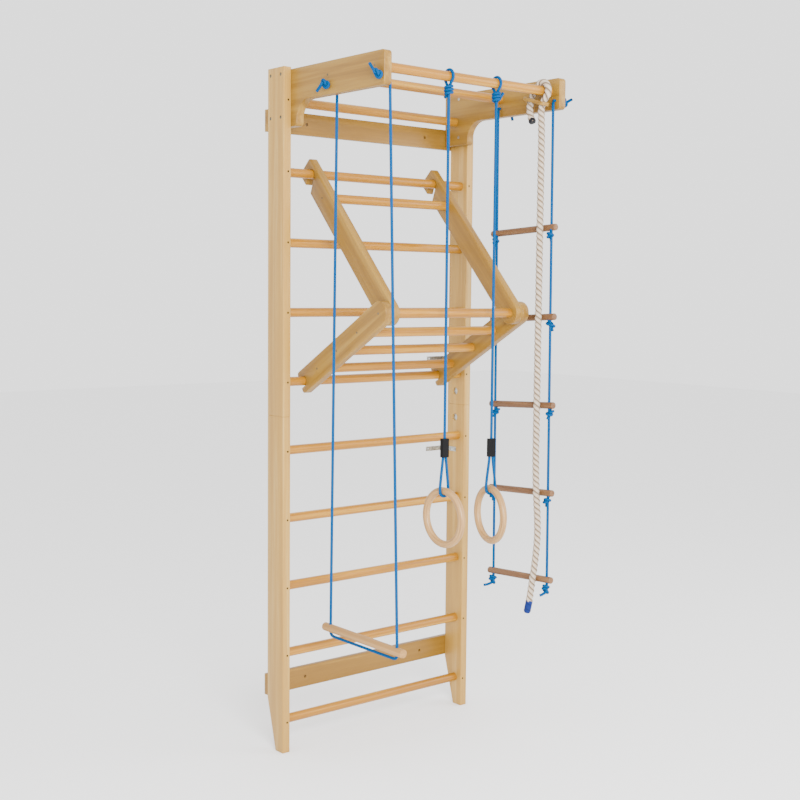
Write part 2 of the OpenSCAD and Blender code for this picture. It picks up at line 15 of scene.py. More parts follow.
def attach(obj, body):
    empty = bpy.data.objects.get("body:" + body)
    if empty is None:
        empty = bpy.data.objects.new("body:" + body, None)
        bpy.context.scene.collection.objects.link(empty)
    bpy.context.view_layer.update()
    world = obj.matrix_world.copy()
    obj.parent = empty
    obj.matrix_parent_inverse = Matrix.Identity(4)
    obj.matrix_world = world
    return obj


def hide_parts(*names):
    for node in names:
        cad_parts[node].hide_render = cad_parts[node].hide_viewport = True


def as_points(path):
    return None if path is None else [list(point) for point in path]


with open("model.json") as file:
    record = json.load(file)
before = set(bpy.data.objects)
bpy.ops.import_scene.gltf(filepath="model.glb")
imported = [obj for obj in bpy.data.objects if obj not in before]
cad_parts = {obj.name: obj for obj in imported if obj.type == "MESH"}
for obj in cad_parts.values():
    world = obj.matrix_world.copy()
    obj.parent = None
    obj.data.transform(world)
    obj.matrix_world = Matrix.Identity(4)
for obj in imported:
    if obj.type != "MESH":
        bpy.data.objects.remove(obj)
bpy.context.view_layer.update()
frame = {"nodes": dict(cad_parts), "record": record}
scene = bpy.context.scene
MM = 0.001
BODY = {}
for body_name, members in frame["record"]["behaviour"]["bodies"].items():
    for member in members:
        BODY[member] = body_name

# %% [markdown]
# The camera stands to the left of the gym at the height of a person's eyes. Its direction is written as a
# turn, a tip and a small roll, because each of them is easy to picture and to change by itself.


# %% Camera
def place_camera(at, turn, tip, roll, lens, shift):
    """A camera at a point, looking along a compass turn from +Y towards +X, tipped down, then rolled."""
    turn, tip, roll = (math.radians(a) for a in (turn, tip, roll))
    forward = Vector((math.sin(turn) * math.cos(tip), math.cos(turn) * math.cos(tip), -math.sin(tip)))
    level = Vector((math.cos(turn), -math.sin(turn), 0))
    upward = level.cross(forward)
    across = math.cos(roll) * level + math.sin(roll) * upward
    above = -math.sin(roll) * level + math.cos(roll) * upward
    data = bpy.data.cameras.new("studio_camera")
    data.sensor_width = 36
    data.lens = lens
    data.shift_x, data.shift_y = shift
    data.clip_end = 60
    cam = bpy.data.objects.new("studio_camera", data)
    axes = Matrix((across, above, -forward)).transposed()
    cam.matrix_world = Matrix.Translation(at) @ axes.to_4x4()
    scene.collection.objects.link(cam)
    scene.camera = cam
    return cam


camera = place_camera((-2.6413, -3.4767, 1.512), 40.417, 4.583, 0.645, 57.09, (-0.0419, -0.0115))
print("camera at", [round(v, 3) for v in camera.location])

# %% [markdown]
# A rope is a mesh tube that follows a line of points. Each ring of the tube stands square to the line. The
# frame that carries the ring is moved from point to point without twisting, so that a pattern on the rope
# doesn't turn by itself. The second map coordinate is the length along the rope in millimetres.


# %% Lines and tubes
def unit(v):
    return v / np.linalg.norm(v)


def bezier_line(points, step):
    """A smooth line through the points, with a point about every step."""
    p = np.array(points, float)
    ends = np.vstack([2 * p[0] - p[1], p, 2 * p[-1] - p[-2]])
    out = [p[0]]
    for i in range(len(p) - 1):
        a, b, c, d = ends[i : i + 4]
        count = max(1, int(round(np.linalg.norm(c - b) / step)))
        for k in range(1, count + 1):
            t = k / count
            bend = (2 * a - 5 * b + 4 * c - d) * t**2 + (3 * b - a - 3 * c + d) * t**3
            out.append(0.5 * (2 * b + (c - a) * t + bend))
    return np.array(out)


def line_length(p):
    return float(np.linalg.norm(np.diff(np.array(p), axis=0), axis=1).sum())


def ring_frames(p):
    """At each point: the tangent and two directions square to it, carried along without twist."""
    tan = np.gradient(p, axis=0)
    tan = tan / np.linalg.norm(tan, axis=1)[:, None]
    start = np.array([0, 0, 1.0]) if abs(tan[0][2]) < 0.8 else np.array([1.0, 0, 0])
    side = unit(start - start.dot(tan[0]) * tan[0])
    sides = [side]
    for i in range(1, len(p)):
        side = sides[-1] - sides[-1].dot(tan[i]) * tan[i]
        sides.append(unit(side))
    sides = np.array(sides)
    return tan, sides, np.cross(tan, sides)


def rope_mesh(name, p, outline, twist=0.0, radii=None):
    """A tube with the outline (angle, radius) as its section, turned by twist degrees a millimetre."""
    p = np.array(p, float)
    _, side, over = ring_frames(p)
    run = np.concatenate([[0], np.cumsum(np.linalg.norm(np.diff(p, axis=0), axis=1))]) / MM
    angles, reach = (np.array(v) for v in zip(*outline))
    n, m = len(p), len(angles)
    turn = np.radians(run * twist)[:, None] + angles[None, :]
    size = np.ones(n) if radii is None else np.array(radii)
    r = reach[None, :] * size[:, None]
    verts = p[:, None, :] + r[..., None] * (
        np.cos(turn)[..., None] * side[:, None, :] + np.sin(turn)[..., None] * over[:, None, :]
    )
    mesh = bpy.data.meshes.new(name)
    bm = bmesh.new()
    grid = [[bm.verts.new(v) for v in row] for row in verts]
    uv = bm.loops.layers.uv.new("along")
    for i in range(n - 1):
        for k in range(m):
            j = (k + 1) % m
            face = bm.faces.new((grid[i][k], grid[i][j], grid[i + 1][j], grid[i + 1][k]))
            face.smooth = True
            marks = ((k, i), (k + 1, i), (k + 1, i + 1), (k, i + 1))
            for loop, (a, b) in zip(face.loops, marks):
                loop[uv].uv = (a / m, run[b])
    for row, order in ((grid[0], -1), (grid[-1], 1)):
        bm.faces.new(row[::order]).smooth = False
    bm.to_mesh(mesh)
    bm.free()
    obj = bpy.data.objects.new(name, mesh)
    scene.collection.objects.link(obj)
    return obj


def round_outline(radius, sides):
    return [(2 * math.pi * k / sides, radius) for k in range(sides)]


ROPE_R = 4.5 * MM
BLUE = round_outline(ROPE_R, 14)
print("rope outline points:", len(BLUE))

# %% [markdown]
# An overhand knot is what a child ties first: a loop, and the end passed through it. Its tight shape is
# hard to draw by hand, so it is pulled tight here the way that hands do it. The rope starts as a wide
# loose knot. At each step it is shortened a little, and where two parts come closer than one rope's
# thickness they push each other away. What is left is the small firm lump that a real knot makes.


# %% Tie a knot
def even_points(p, step):
    run = np.concatenate([[0], np.cumsum(np.linalg.norm(np.diff(p, axis=0), axis=1))])
    count = max(8, int(round(run[-1] / step)))
    marks = np.linspace(0, run[-1], count + 1)
    return np.stack([np.interp(marks, run, p[:, k]) for k in range(3)], axis=1)


def tie_overhand(radius):
    """The centreline of a tight overhand knot on the Z axis, in metres, middle at the origin."""
    t = np.linspace(-2.15, 2.15, 120)
    wide = 14 * MM * np.stack([t**3 - 3 * t, t**4 - 4 * t**2 + 1, t**5 / 5 - 2 * t], axis=1)
    far = 0.12
    p = np.vstack([[[0, 0, -far]], wide, [[0, 0, far]]])
    step = radius * 0.7
    for turn in range(900):
        if turn % 5 == 0:
            p = even_points(p, step)
        p[1:-1] += 0.4 * (0.5 * (p[:-2] + p[2:]) - p[1:-1])
        for _ in range(2):
            gap = p[:, None, :] - p[None, :, :]
            dist = np.linalg.norm(gap, axis=2) + 1e-9
            apart = np.abs(np.arange(len(p))[:, None] - np.arange(len(p))[None, :]) * step
            close = (dist < 1.96 * radius) & (apart > 3.4 * radius)
            push = np.where(close, (1.96 * radius - dist) / dist * 0.5, 0)[..., None] * gap
            p[1:-1] += 0.6 * push.sum(axis=1)[1:-1]
    mid = p[np.abs(p[:, 2]) < 0.05]
    width = np.hypot(mid[:, 0], mid[:, 1])
    lump = p[np.hypot(p[:, 0], p[:, 1]) > 0.25 * width.max()]
    p[:, 2] -= 0.5 * (lump[:, 2].min() + lump[:, 2].max())
    keep = np.abs(p[:, 2]) < 5.2 * radius
    p = p[keep]
    p[:, :2] -= 0.5 * (p[0, :2] + p[-1, :2])
    return p


OVERHAND = tie_overhand(ROPE_R)
print("knot length mm:", round(line_length(OVERHAND) / MM, 1))
print("knot size mm:", [round(float(v) / MM, 1) for v in np.ptp(OVERHAND, axis=0)])


# %% Place a knot on a rope
def knot_line(at, along=(0, 0, -1), spin=0.0, tail=()):
    """The knot's line moved to a point, with its far end along a direction, and a tail of more points."""
    along = Vector(along).normalized()
    turn = Vector((0, 0, 1)).rotation_difference(along).to_matrix() @ Matrix.Rotation(spin, 3, "Z")
    p = OVERHAND @ np.array(turn).T + np.array(at)
    if len(tail):
        more = bezier_line([p[-1]] + [list(q) for q in tail], 2 * MM)
        p = np.vstack([p, more[1:]])
    return p


# %% [markdown]
# The gear hangs on these lines. They repeat the CAD model's own routes, in metres: the holes in the side
# panels, the front bar, the adjusters, and the height of each rung of the ladder.

# %% Where the ropes run
PANEL_IN = 0.344
PANEL_OUT = 0.372
HANG_X = 0.3355
HOLE_Z = 2.122
HOLE_FRONT, HOLE_REAR = -0.560, -0.302
BAR_Y, BAR_Z, BAR_R = -0.534, 2.153, 0.015
LADDER_Z = [0.549 + 0.290 * k for k in range(5)][::-1]
TRAPEZE_Z = 0.443
TRAPEZE_FRONT, TRAPEZE_REAR = -0.616, -0.282
RING_X = {"left": -0.088, "right": 0.109}
RING_Z = {"left": 0.805, "right": 0.794}
RING_TURN = {"left": 0.0, "right": -13.0}
RING_MID_R, RING_TUBE_R = 0.0835, 0.0115
ADJUST_Z = {"left": 1.023, "right": 1.010}
LADDER_TILT = math.tan(math.radians(3))
LADDER_LEAN = 0.011
KNOT_DROP = 25 * MM
ROPE_START = HOLE_Z - 5.1 * MM
CLIMB_X = 0.311
made = []


def add_piece(obj, body, slot, *nodes):
    """The piece moves with a body, takes its finish from a slot and stands for CAD nodes."""
    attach(obj, body)
    if nodes:
        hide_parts(*nodes)
    made.append((obj, slot))
    return obj


print("ladder rungs at", [round(z, 3) for z in LADDER_Z])

# %% [markdown]
# Each panel rope comes through a hole in the side panel and is stopped by a knot on the outer face, with
# a short tail. The stub through the hole and its knot stay with the frame, and the part that hangs can
# swing, so they are separate pieces that meet at the hole's inner edge.


# %% Knots on the side panels
def panel_end(name, side, y, tail):
    """Stub through the panel, knot outside, and a tail that leaves towards the given directions."""
    knot_x = PANEL_OUT + 11 * MM
    at = (side * knot_x, y, HOLE_Z)
    line = knot_line(at, along=(side, 0, 0), spin=0.6)
    inner = [(side * x, y, HOLE_Z) for x in (HANG_X - 1 * MM, PANEL_IN, PANEL_OUT)]
    line = line[np.abs(line[:, 0] - side * knot_x) < 10.5 * MM]
    start = bezier_line(inner + [tuple(line[0])], 2 * MM)
    last = line[-1]
    out = [last + np.array([side * a * MM, b * MM, c * MM]) for a, b, c in tail]
    end = bezier_line([tuple(last)] + [tuple(q) for q in out], 2 * MM)
    full = np.vstack([start[:-1], line, end[1:]])
    sizes = np.ones(len(full))
    sizes[0] = 0.5
    return rope_mesh(name, full, BLUE, radii=sizes)


panel_ends = {
    "trapeze_front": panel_end("trapeze_knot_front", -1, HOLE_FRONT, [(1, 2, 7), (0, 12, 16), (-1, 24, 28)]),
    "trapeze_rear": panel_end("trapeze_knot_rear", -1, HOLE_REAR, [(1, 2, -5), (0, 12, -12), (-1, 27, -22)]),
    "ladder_front": panel_end("ladder_knot_front", 1, HOLE_FRONT, [(2, -4, 4), (4, -14, 9), (5, -24, 12)]),
    "ladder_rear": panel_end("ladder_knot_rear", 1, HOLE_REAR, [(1, -3, -7), (1, -7, -18), (2, -10, -30)]),
}
for piece in panel_ends.values():
    add_piece(piece, "frame", "blue_rope", "panel_rope_ends")
print("panel knots:", len(panel_ends))

# %% [markdown]
# The trapeze hangs on one rope. It comes down from the rear hole, goes through the bar, runs along below
# it, and goes up through the bar again to the front hole.

# %% Trapeze rope
bar_low = TRAPEZE_Z - 13 * MM
under = [
    (TRAPEZE_REAR, bar_low + 2 * MM),
    (TRAPEZE_REAR - 2 * MM, bar_low - 4 * MM),
    (TRAPEZE_REAR - 8 * MM, bar_low - 9 * MM),
    (TRAPEZE_REAR - 20 * MM, bar_low - 11 * MM),
    (TRAPEZE_REAR - 60 * MM, bar_low - 11 * MM),
    (TRAPEZE_FRONT + 60 * MM, bar_low - 11 * MM),
    (TRAPEZE_FRONT + 20 * MM, bar_low - 11 * MM),
    (TRAPEZE_FRONT + 8 * MM, bar_low - 9 * MM),
    (TRAPEZE_FRONT + 2 * MM, bar_low - 4 * MM),
    (TRAPEZE_FRONT, bar_low + 2 * MM),
]
route = [(HOLE_REAR, ROPE_START), (TRAPEZE_REAR, bar_low + 30 * MM)] + under
route += [(TRAPEZE_FRONT, bar_low + 30 * MM), (HOLE_FRONT, ROPE_START)]


def run_straight(points, step, fine=4 * MM):
    """A line through the points: straight on long stretches and smooth where points lie close together."""
    p = [np.array(q, float) for q in points]
    out = [p[0]]
    for i in range(len(p) - 1):
        a, b = p[i], p[i + 1]
        span = np.linalg.norm(b - a)
        if span > 30 * MM:
            count = max(1, int(round(span / step)))
            out += [a + (b - a) * k / count for k in range(1, count + 1)]
        else:
            before = p[i - 1] if i else a
            after = p[i + 2] if i + 2 < len(p) else b
            if np.linalg.norm(a - before) > 30 * MM:
                before = a - unit(a - before) * span
            if np.linalg.norm(after - b) > 30 * MM:
                after = b + unit(after - b) * span
            count = max(2, int(round(span / fine)))
            for k in range(1, count + 1):
                t = k / count
                bend = (2 * before - 5 * a + 4 * b - after) * t**2 + (3 * a - before - 3 * b + after) * t**3
                out.append(0.5 * (2 * a + (b - before) * t + bend))
    return np.array(out)


trapeze_line = run_straight([(-HANG_X, y, z) for y, z in route], 20 * MM, 2 * MM)
trapeze_rope = rope_mesh("trapeze_cord", trapeze_line, BLUE)
add_piece(trapeze_rope, "trapeze", "blue_rope", "trapeze_rope")
line_length(trapeze_line)
print("trapeze rope m:", round(line_length(trapeze_line), 3))

# %% [markdown]
# A ladder rope carries a knot under each rung, and the rung rests on it. The knots are pieces of their
# own on a straight rope, which keeps the rope's line simple. The lowest knot is doubled and has a tail.


# %% Ladder ropes
def ladder_side(which, y, tail):
    """One side rope: a knot under each rung, a doubled knot under the lowest, and a tail."""
    drop = (y - 0.5 * (HOLE_FRONT + HOLE_REAR)) * LADDER_TILT

    def at(z):
        return np.array((HANG_X, y - LADDER_LEAN * (HOLE_Z - z) / (HOLE_Z - LADDER_Z[-1]), z))

    low = LADDER_Z[-1] - drop - 12 * MM
    end = at(low - 24 * MM)
    route = [end] + [end + np.array(q) * MM for q in tail]
    line = run_straight([at(ROPE_START), end], 20 * MM)
    line = np.vstack([line, bezier_line([tuple(q) for q in route], 3 * MM)[1:]])
    rope = rope_mesh(f"ladder_cord_{which}", line, BLUE)
    knots = []
    for k, z in enumerate(LADDER_Z[:-1]):
        knot = knot_line(at(z - drop - KNOT_DROP), spin=0.8 + 1.9 * k)
        knots.append(rope_mesh(f"ladder_{which}_knot_{k + 1}", knot, BLUE))
    first = knot_line(at(low - 12 * MM), spin=0.4)
    knots.append(rope_mesh(f"ladder_{which}_knot_5", first, BLUE))
    second = knot_line(end, along=route[2] - route[0], spin=2.0)
    second = second[np.linalg.norm(second - end, axis=1) < 19 * MM]
    knots.append(rope_mesh(f"ladder_{which}_knot_6", second, BLUE))
    for piece in [rope] + knots:
        add_piece(piece, "rope_ladder", "blue_rope", f"ladder_rope_{which}")
    line_length(line)
    print(which, "ladder rope m:", round(line_length(line), 3))


ladder_side("front", HOLE_FRONT, [(-6, 4, -8), (-13, 9, -14), (-19, 14, -17)])
ladder_side("rear", HOLE_REAR, [(-8, 6, -9), (-18, 14, -14), (-27, 21, -16)])
print("ladder pieces:", len(made))

# %% [markdown]
# A ring rope is hitched round the front bar: it goes over the bar and comes down again, and its end is
# wound round the standing part below. Below that it hangs straight to a black adjuster, from which a loop
# of the same rope goes round the top of the wooden ring.


# %% Ring ropes and their hitches
def ring_hitch(which, tail):
    """The turn round the bar, the winding below it, and the tail."""
    x = RING_X[which]
    r = BAR_R + 0.6 * MM + ROPE_R
    line = []
    for k in range(41):
        a = math.radians(-42 + 264 * k / 40)
        line.append((x, BAR_Y + r * math.cos(a), BAR_Z + r * math.sin(a)))
    low = BAR_Z - 50 * MM
    back = (x, BAR_Y - 5 * MM, BAR_Z - 27 * MM)
    down = (x, BAR_Y, low)
    rise = [(x, BAR_Y + 6.5 * MM, BAR_Z - 26 * MM)]
    spiral = []
    for k in range(37):
        a = math.radians(60 + 1050 * k / 36)
        wide = (9.4 + 1.8 * math.sin(math.pi * k / 36)) * MM
        spiral.append((x + wide * math.sin(a), BAR_Y + wide * math.cos(a), BAR_Z - (27 + 0.75 * k) * MM))
    end = spiral[-1]
    out = [tuple(np.array(end) + np.array(q) * MM) for q in tail]
    loose = bezier_line(out[::-1] + spiral[::-1] + rise + [line[0]], 2 * MM)
    over = np.vstack([loose, np.array(line)[1:], bezier_line([line[-1], back, down], 2 * MM)[1:]])
    return rope_mesh(f"ring_{which}_hitch", over, BLUE)


def ring_hanging(which, tail):
    x = RING_X[which]
    line = run_straight([(x, BAR_Y, BAR_Z - 38 * MM), (x, BAR_Y, ADJUST_Z[which] + 14 * MM)], 20 * MM)
    rope = rope_mesh(f"ring_{which}_cord", line, BLUE)
    hitch = ring_hitch(which, tail)
    for piece in (rope, hitch):
        add_piece(piece, f"ring_hanger_{which}", "blue_rope", f"ring_rope_{which}")
    line_length(line)
    print(which, "ring rope m:", round(line_length(line), 3))


ring_hanging("left", [(-4, 4, -4), (-9, 6, -8)])
ring_hanging("right", [(5, -3, 3), (13, -8, 14), (20, -13, 28)])


# %% Loops at the rings
def ring_loop(which):
    """The doubled rope from the adjuster, under the top of the ring and back up."""
    turn = Matrix.Rotation(math.radians(RING_TURN[which]), 3, "Z")
    centre = np.array((RING_X[which], BAR_Y, 0))
    wrap = RING_TUBE_R + 0.4 * MM + ROPE_R
    top = RING_Z[which] + RING_MID_R
    low = ADJUST_Z[which] - 29 * MM
    arc = []
    for k in range(25):
        a = math.radians(180 + 7.5 * k)
        arc.append((wrap * math.cos(a), 0, top + wrap * math.sin(a)))
    down = [(-6 * MM, 0, low + 16 * MM), (-6 * MM, 0, low - 3 * MM), (-9 * MM, 0, low - 30 * MM)]
    down += [(-13.5 * MM, 0, top + 40 * MM), (-wrap, 0, top + 12 * MM)]
    back = [(-x, y, z) for x, y, z in down[::-1]]
    flat = bezier_line(down + arc + back, 3 * MM)
    line = flat @ np.array(turn).T + centre
    rope = rope_mesh(f"ring_{which}_loop", line, BLUE)
    add_piece(rope, f"ring_{which}_hang", "blue_rope", f"ring_loop_{which}")
    line_length(line)
    print(which, "ring loop m:", round(line_length(line), 3))


ring_loop("left")
ring_loop("right")

# %% [markdown]
# The climbing rope is laid from three thick strands. Its section is the outline of three touching
# circles, and the section turns once in each lay as it goes along, which draws the strands. The rope goes
# through a wooden toggle, over the front bar and back through the toggle, where its short tail hangs.


# %% Climbing rope
def strand_outline(radius, count=3, per=12):
    """The outside of three round strands laid together."""
    offset, strand = 0.37 * radius, 0.63 * radius
    out = []
    for k in range(count * per):
        a = 2 * math.pi * (k + 0.5) / (count * per)
        near = (a + math.pi / count) % (2 * math.pi / count) - math.pi / count
        rise = math.sqrt(max(strand**2 - (offset * math.sin(near)) ** 2, 0))
        out.append((a, offset * math.cos(near) + rise))
    return out


CLIMB_R = 11.6 * MM
LAY = 54.0
LOOP_R = 15 + 0.8 + 11  # half of the bar, a small gap and half of the rope, in mm
climb = [(42, -96), (51, -76), (56, -54), (51, -26), (37, -3)]
for turn in range(30, 181, 15):
    climb.append((LOOP_R * math.cos(math.radians(turn)), LOOP_R * math.sin(math.radians(turn))))
climb += [(-24.5, -14), (-10, -31), (-1, -48), (3, -66), (1, -110), (0, -160)]
climb += [(0, -220), (0, -300), (0, -420), (0, -600), (0, -860)]
climb = [(CLIMB_X, BAR_Y + a * MM, BAR_Z + b * MM) for a, b in climb]
lower = [(0, 1120), (0, 1030), (0, 960), (-4, 860), (-12, 760), (-13, 690), (-4, 610), (8, 540), (19, 477)]
climb += [(CLIMB_X, BAR_Y + dy * MM, z * MM) for dy, z in lower]
climb_line = bezier_line(climb, 3 * MM)
top_at = int(np.argmax(climb_line[:, 2] > BAR_Z))
tail_line, main_line = climb_line[: top_at + 1], climb_line[top_at:]
print("climbing rope m:", round(line_length(climb_line), 3), "points:", len(climb_line))


def laid_rope(name, line, start):
    """A twisted rope whose strands begin at a turn that belongs to their place along the whole rope."""
    section = [(a - math.radians(360 * start / LAY), r) for a, r in strand_outline(CLIMB_R)]
    return rope_mesh(name, line, section, twist=-360 / LAY)


climb_tail = laid_rope("climbing_rope_tail", tail_line, 0)
climb_main = laid_rope("climbing_rope_main", main_line, line_length(tail_line) / MM)


# %% Tape on the rope's two ends
def tape_piece(name, line, radius):
    """Tape wound round the last stretch of rope, with a soft shoulder at each end."""
    n = len(line)
    sizes = [1.0 - 0.18 * max(0, 1 - min(k, n - 1 - k) / 2.0) for k in range(n)]
    return rope_mesh(name, line, round_outline(radius, 24), radii=sizes)


blue_end = bezier_line([(CLIMB_X, BAR_Y + 18 * MM, 0.481), (CLIMB_X, BAR_Y + 29 * MM, 0.437)], 2.5 * MM)
tape_blue = tape_piece("blue_tape_end", blue_end, 11.9 * MM)
past_end = tail_line[0] + 2.5 * MM * unit(tail_line[0] - tail_line[1])
tape_dark = tape_piece("dark_tape_end", np.vstack([[past_end], tail_line[:5]]), 12.2 * MM)
for piece in (climb_tail, climb_main):
    add_piece(piece, "climbing_rope_hang", "white_rope", "climbing_rope")
add_piece(tape_blue, "climbing_rope_hang", "blue_tape", "rope_tape")
add_piece(tape_dark, "climbing_rope_hang", "white_rope", "climbing_rope")
tuple(main_line[0])
line_length(main_line)
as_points(main_line)
print("rope pieces in all:", len(made))

# %% [markdown]
# Wooden pieces come from the CAD model with knife-sharp edges. On the real gym every long edge has been
# run over with a rounding cutter, which draws a soft line of light along it. A copy of each piece gets
# its long edges rounded here. Small round holes keep their edges, because the cutter can't reach them.


# %% Rounded edges
def edge_loops(bm, sharp):
    """Groups of touching sharp edges."""
    left = set(sharp)
    while left:
        stack, group = [left.pop()], []
        while stack:
            edge = stack.pop()
            group.append(edge)
            for vert in edge.verts:
                for other in vert.link_edges:
                    if other in left:
                        left.remove(other)
                        stack.append(other)
        yield group


def eased(node, width, smallest=60.0):
    """A copy of a CAD node with rounded edges, and smooth light over its curved faces."""
    bm = bmesh.new()
    bm.from_mesh(frame["nodes"][node].data)
    bmesh.ops.remove_doubles(bm, verts=bm.verts, dist=0.002 * MM)
    bmesh.ops.dissolve_limit(bm, angle_limit=math.radians(0.4), verts=bm.verts, edges=bm.edges)
    sharp = [e for e in bm.edges if len(e.link_faces) == 2 and e.calc_face_angle() > math.radians(35)]
    chosen = []
    for group in edge_loops(bm, sharp):
        points = np.array([v.co for e in group for v in e.verts])
        if np.ptp(points, axis=0).max() >= smallest * MM:
            chosen += group
    if chosen:
        bmesh.ops.bevel(
            bm, geom=chosen, offset=width * MM, segments=3, profile=0.5, affect="EDGES", clamp_overlap=False
        )
    for edge in bm.edges:
        edge.smooth = not (len(edge.link_faces) == 2 and edge.calc_face_angle() > math.radians(32))
    for face in bm.faces:
        face.smooth = True
    bmesh.ops.triangulate(bm, faces=bm.faces)
    mesh = bpy.data.meshes.new(node + "_eased")
    bm.to_mesh(mesh)
    bm.free()
    obj = bpy.data.objects.new(node + "_eased", mesh)
    scene.collection.objects.link(obj)
    return obj


SLOT = {s["node"]: s["material_slot"] for s in frame["record"]["subparts"]}
wood = {}
sides = ("left", "right")
uprights = [f"{s}_upright_{h}" for s in sides for h in ("upper", "lower")]
panels = [f"{s}_panel" for s in sides]
boards = ["top_board", "bottom_board"]
arms = [f"{s}_{h}_arm" for s in sides for h in ("upper", "lower")]
for name in uprights:
    wood[name] = eased(name, 1.6)
for name in panels + arms:
    wood[name] = eased(name, 2.6)
for name in boards:
    wood[name] = eased(name, 1.2)
for name in [f"ladder_rung_{k}" for k in range(1, 6)] + ["trapeze_bar"]:
    wood[name] = eased(name, 2.5, smallest=18)
wood["rope_toggle"] = eased("rope_toggle", 2.5, smallest=30)
for name, piece in wood.items():
    add_piece(piece, BODY[name], SLOT[name], name)
print("eased pieces:", len(wood))


# %% Gym rings
def gym_ring(which):
    """A ring bent from beech: a round section carried round a circle, flat side to the rope's loop."""
    turn = Matrix.Rotation(math.radians(RING_TURN[which]), 3, "Z")
    line = []
    for k in range(97):
        a = 2 * math.pi * k / 96
        line.append((0, RING_MID_R * math.sin(a), RING_Z[which] + RING_MID_R * math.cos(a)))
    mesh = bpy.data.meshes.new(f"gym_ring_{which}")
    bm = bmesh.new()
    rows = []
    for _, y, z in line[:-1]:
        out = Vector((0, y, z - RING_Z[which])).normalized()
        row = []
        for j in range(28):
            b = 2 * math.pi * j / 28
            p = Vector((0, y, z)) + RING_TUBE_R * (math.cos(b) * out + math.sin(b) * Vector((1, 0, 0)))
            row.append(bm.verts.new(turn @ p + Vector((RING_X[which], BAR_Y, 0))))
        rows.append(row)
    uv = bm.loops.layers.uv.new("along")
    for i in range(96):
        for j in range(28):
            i2, j2 = (i + 1) % 96, (j + 1) % 28
            face = bm.faces.new((rows[i][j], rows[i][j2], rows[i2][j2], rows[i2][j]))
            face.smooth = True
            for loop, (a, b) in zip(face.loops, ((j, i), (j + 1, i), (j + 1, i + 1), (j, i + 1))):
                loop[uv].uv = (a / 28 * 72, b / 96 * 525)
    bm.normal_update()
    bm.to_mesh(mesh)
    bm.free()
    obj = bpy.data.objects.new(f"gym_ring_{which}", mesh)
    scene.collection.objects.link(obj)
    return obj


rings = {which: gym_ring(which) for which in sides}
for which, piece in rings.items():
    add_piece(piece, f"ring_{which}_hang", "beech", f"ring_{which}")
print("rings:", len(rings))

# %% [markdown]
# Materials. Each one is built from nodes by one small helper, which adds a node, sets its values and
# joins its inputs. Colours are written the way a paint chart gives them, and turned to linear light.


# %% Colour and node helpers
def linear(code):
    """An sRGB hex colour as linear RGBA."""
    parts = [int(code[i : i + 2], 16) / 255 for i in (1, 3, 5)]
    return tuple(c / 12.92 if c <= 0.04045 else ((c + 0.055) / 1.055) ** 2.4 for c in parts) + (1.0,)


def new_material(name):
    mat = bpy.data.materials.new(name)
    mat.use_nodes = True
    tree = mat.node_tree
    tree.nodes.clear()
    out = tree.nodes.new("ShaderNodeOutputMaterial")
    shader = tree.nodes.new("ShaderNodeBsdfPrincipled")
    tree.links.new(shader.outputs[0], out.inputs[0])
    return mat, tree, shader


def add_node(tree, kind, links=(), inputs=None, **settings):
    """Adds one node. links pairs an input with another node's output; inputs sets values."""
    node = tree.nodes.new("ShaderNode" + kind)
    for key, value in settings.items():
        setattr(node, key, value)
    for key, value in (inputs or {}).items():
        node.inputs[key].default_value = value
    for key, socket in links:
        tree.links.new(socket, node.inputs[key])
    return node


def colour_ramp(tree, socket, stops, mode="LINEAR"):
    """A ramp from stops of (place, colour)."""
    node = add_node(tree, "ValToRGB", [("Fac", socket)])
    node.color_ramp.interpolation = mode
    ramp = node.color_ramp.elements
    for k, (place, colour) in enumerate(stops):
        item = ramp[k] if k < 2 else ramp.new(place)
        item.position, item.color = place, colour
    return node


print("white is", linear("#FFFFFF"))

# %% [markdown]
# Pine and beech under clear lacquer. A board shows its growth rings as long bands that run with the
# grain, 3 to 15 mm apart, and between them fine fibres. The bands come from a noise that is stretched a
# long way along the grain, and the fibres from a much finer one. The lacquer gives a soft second gloss.


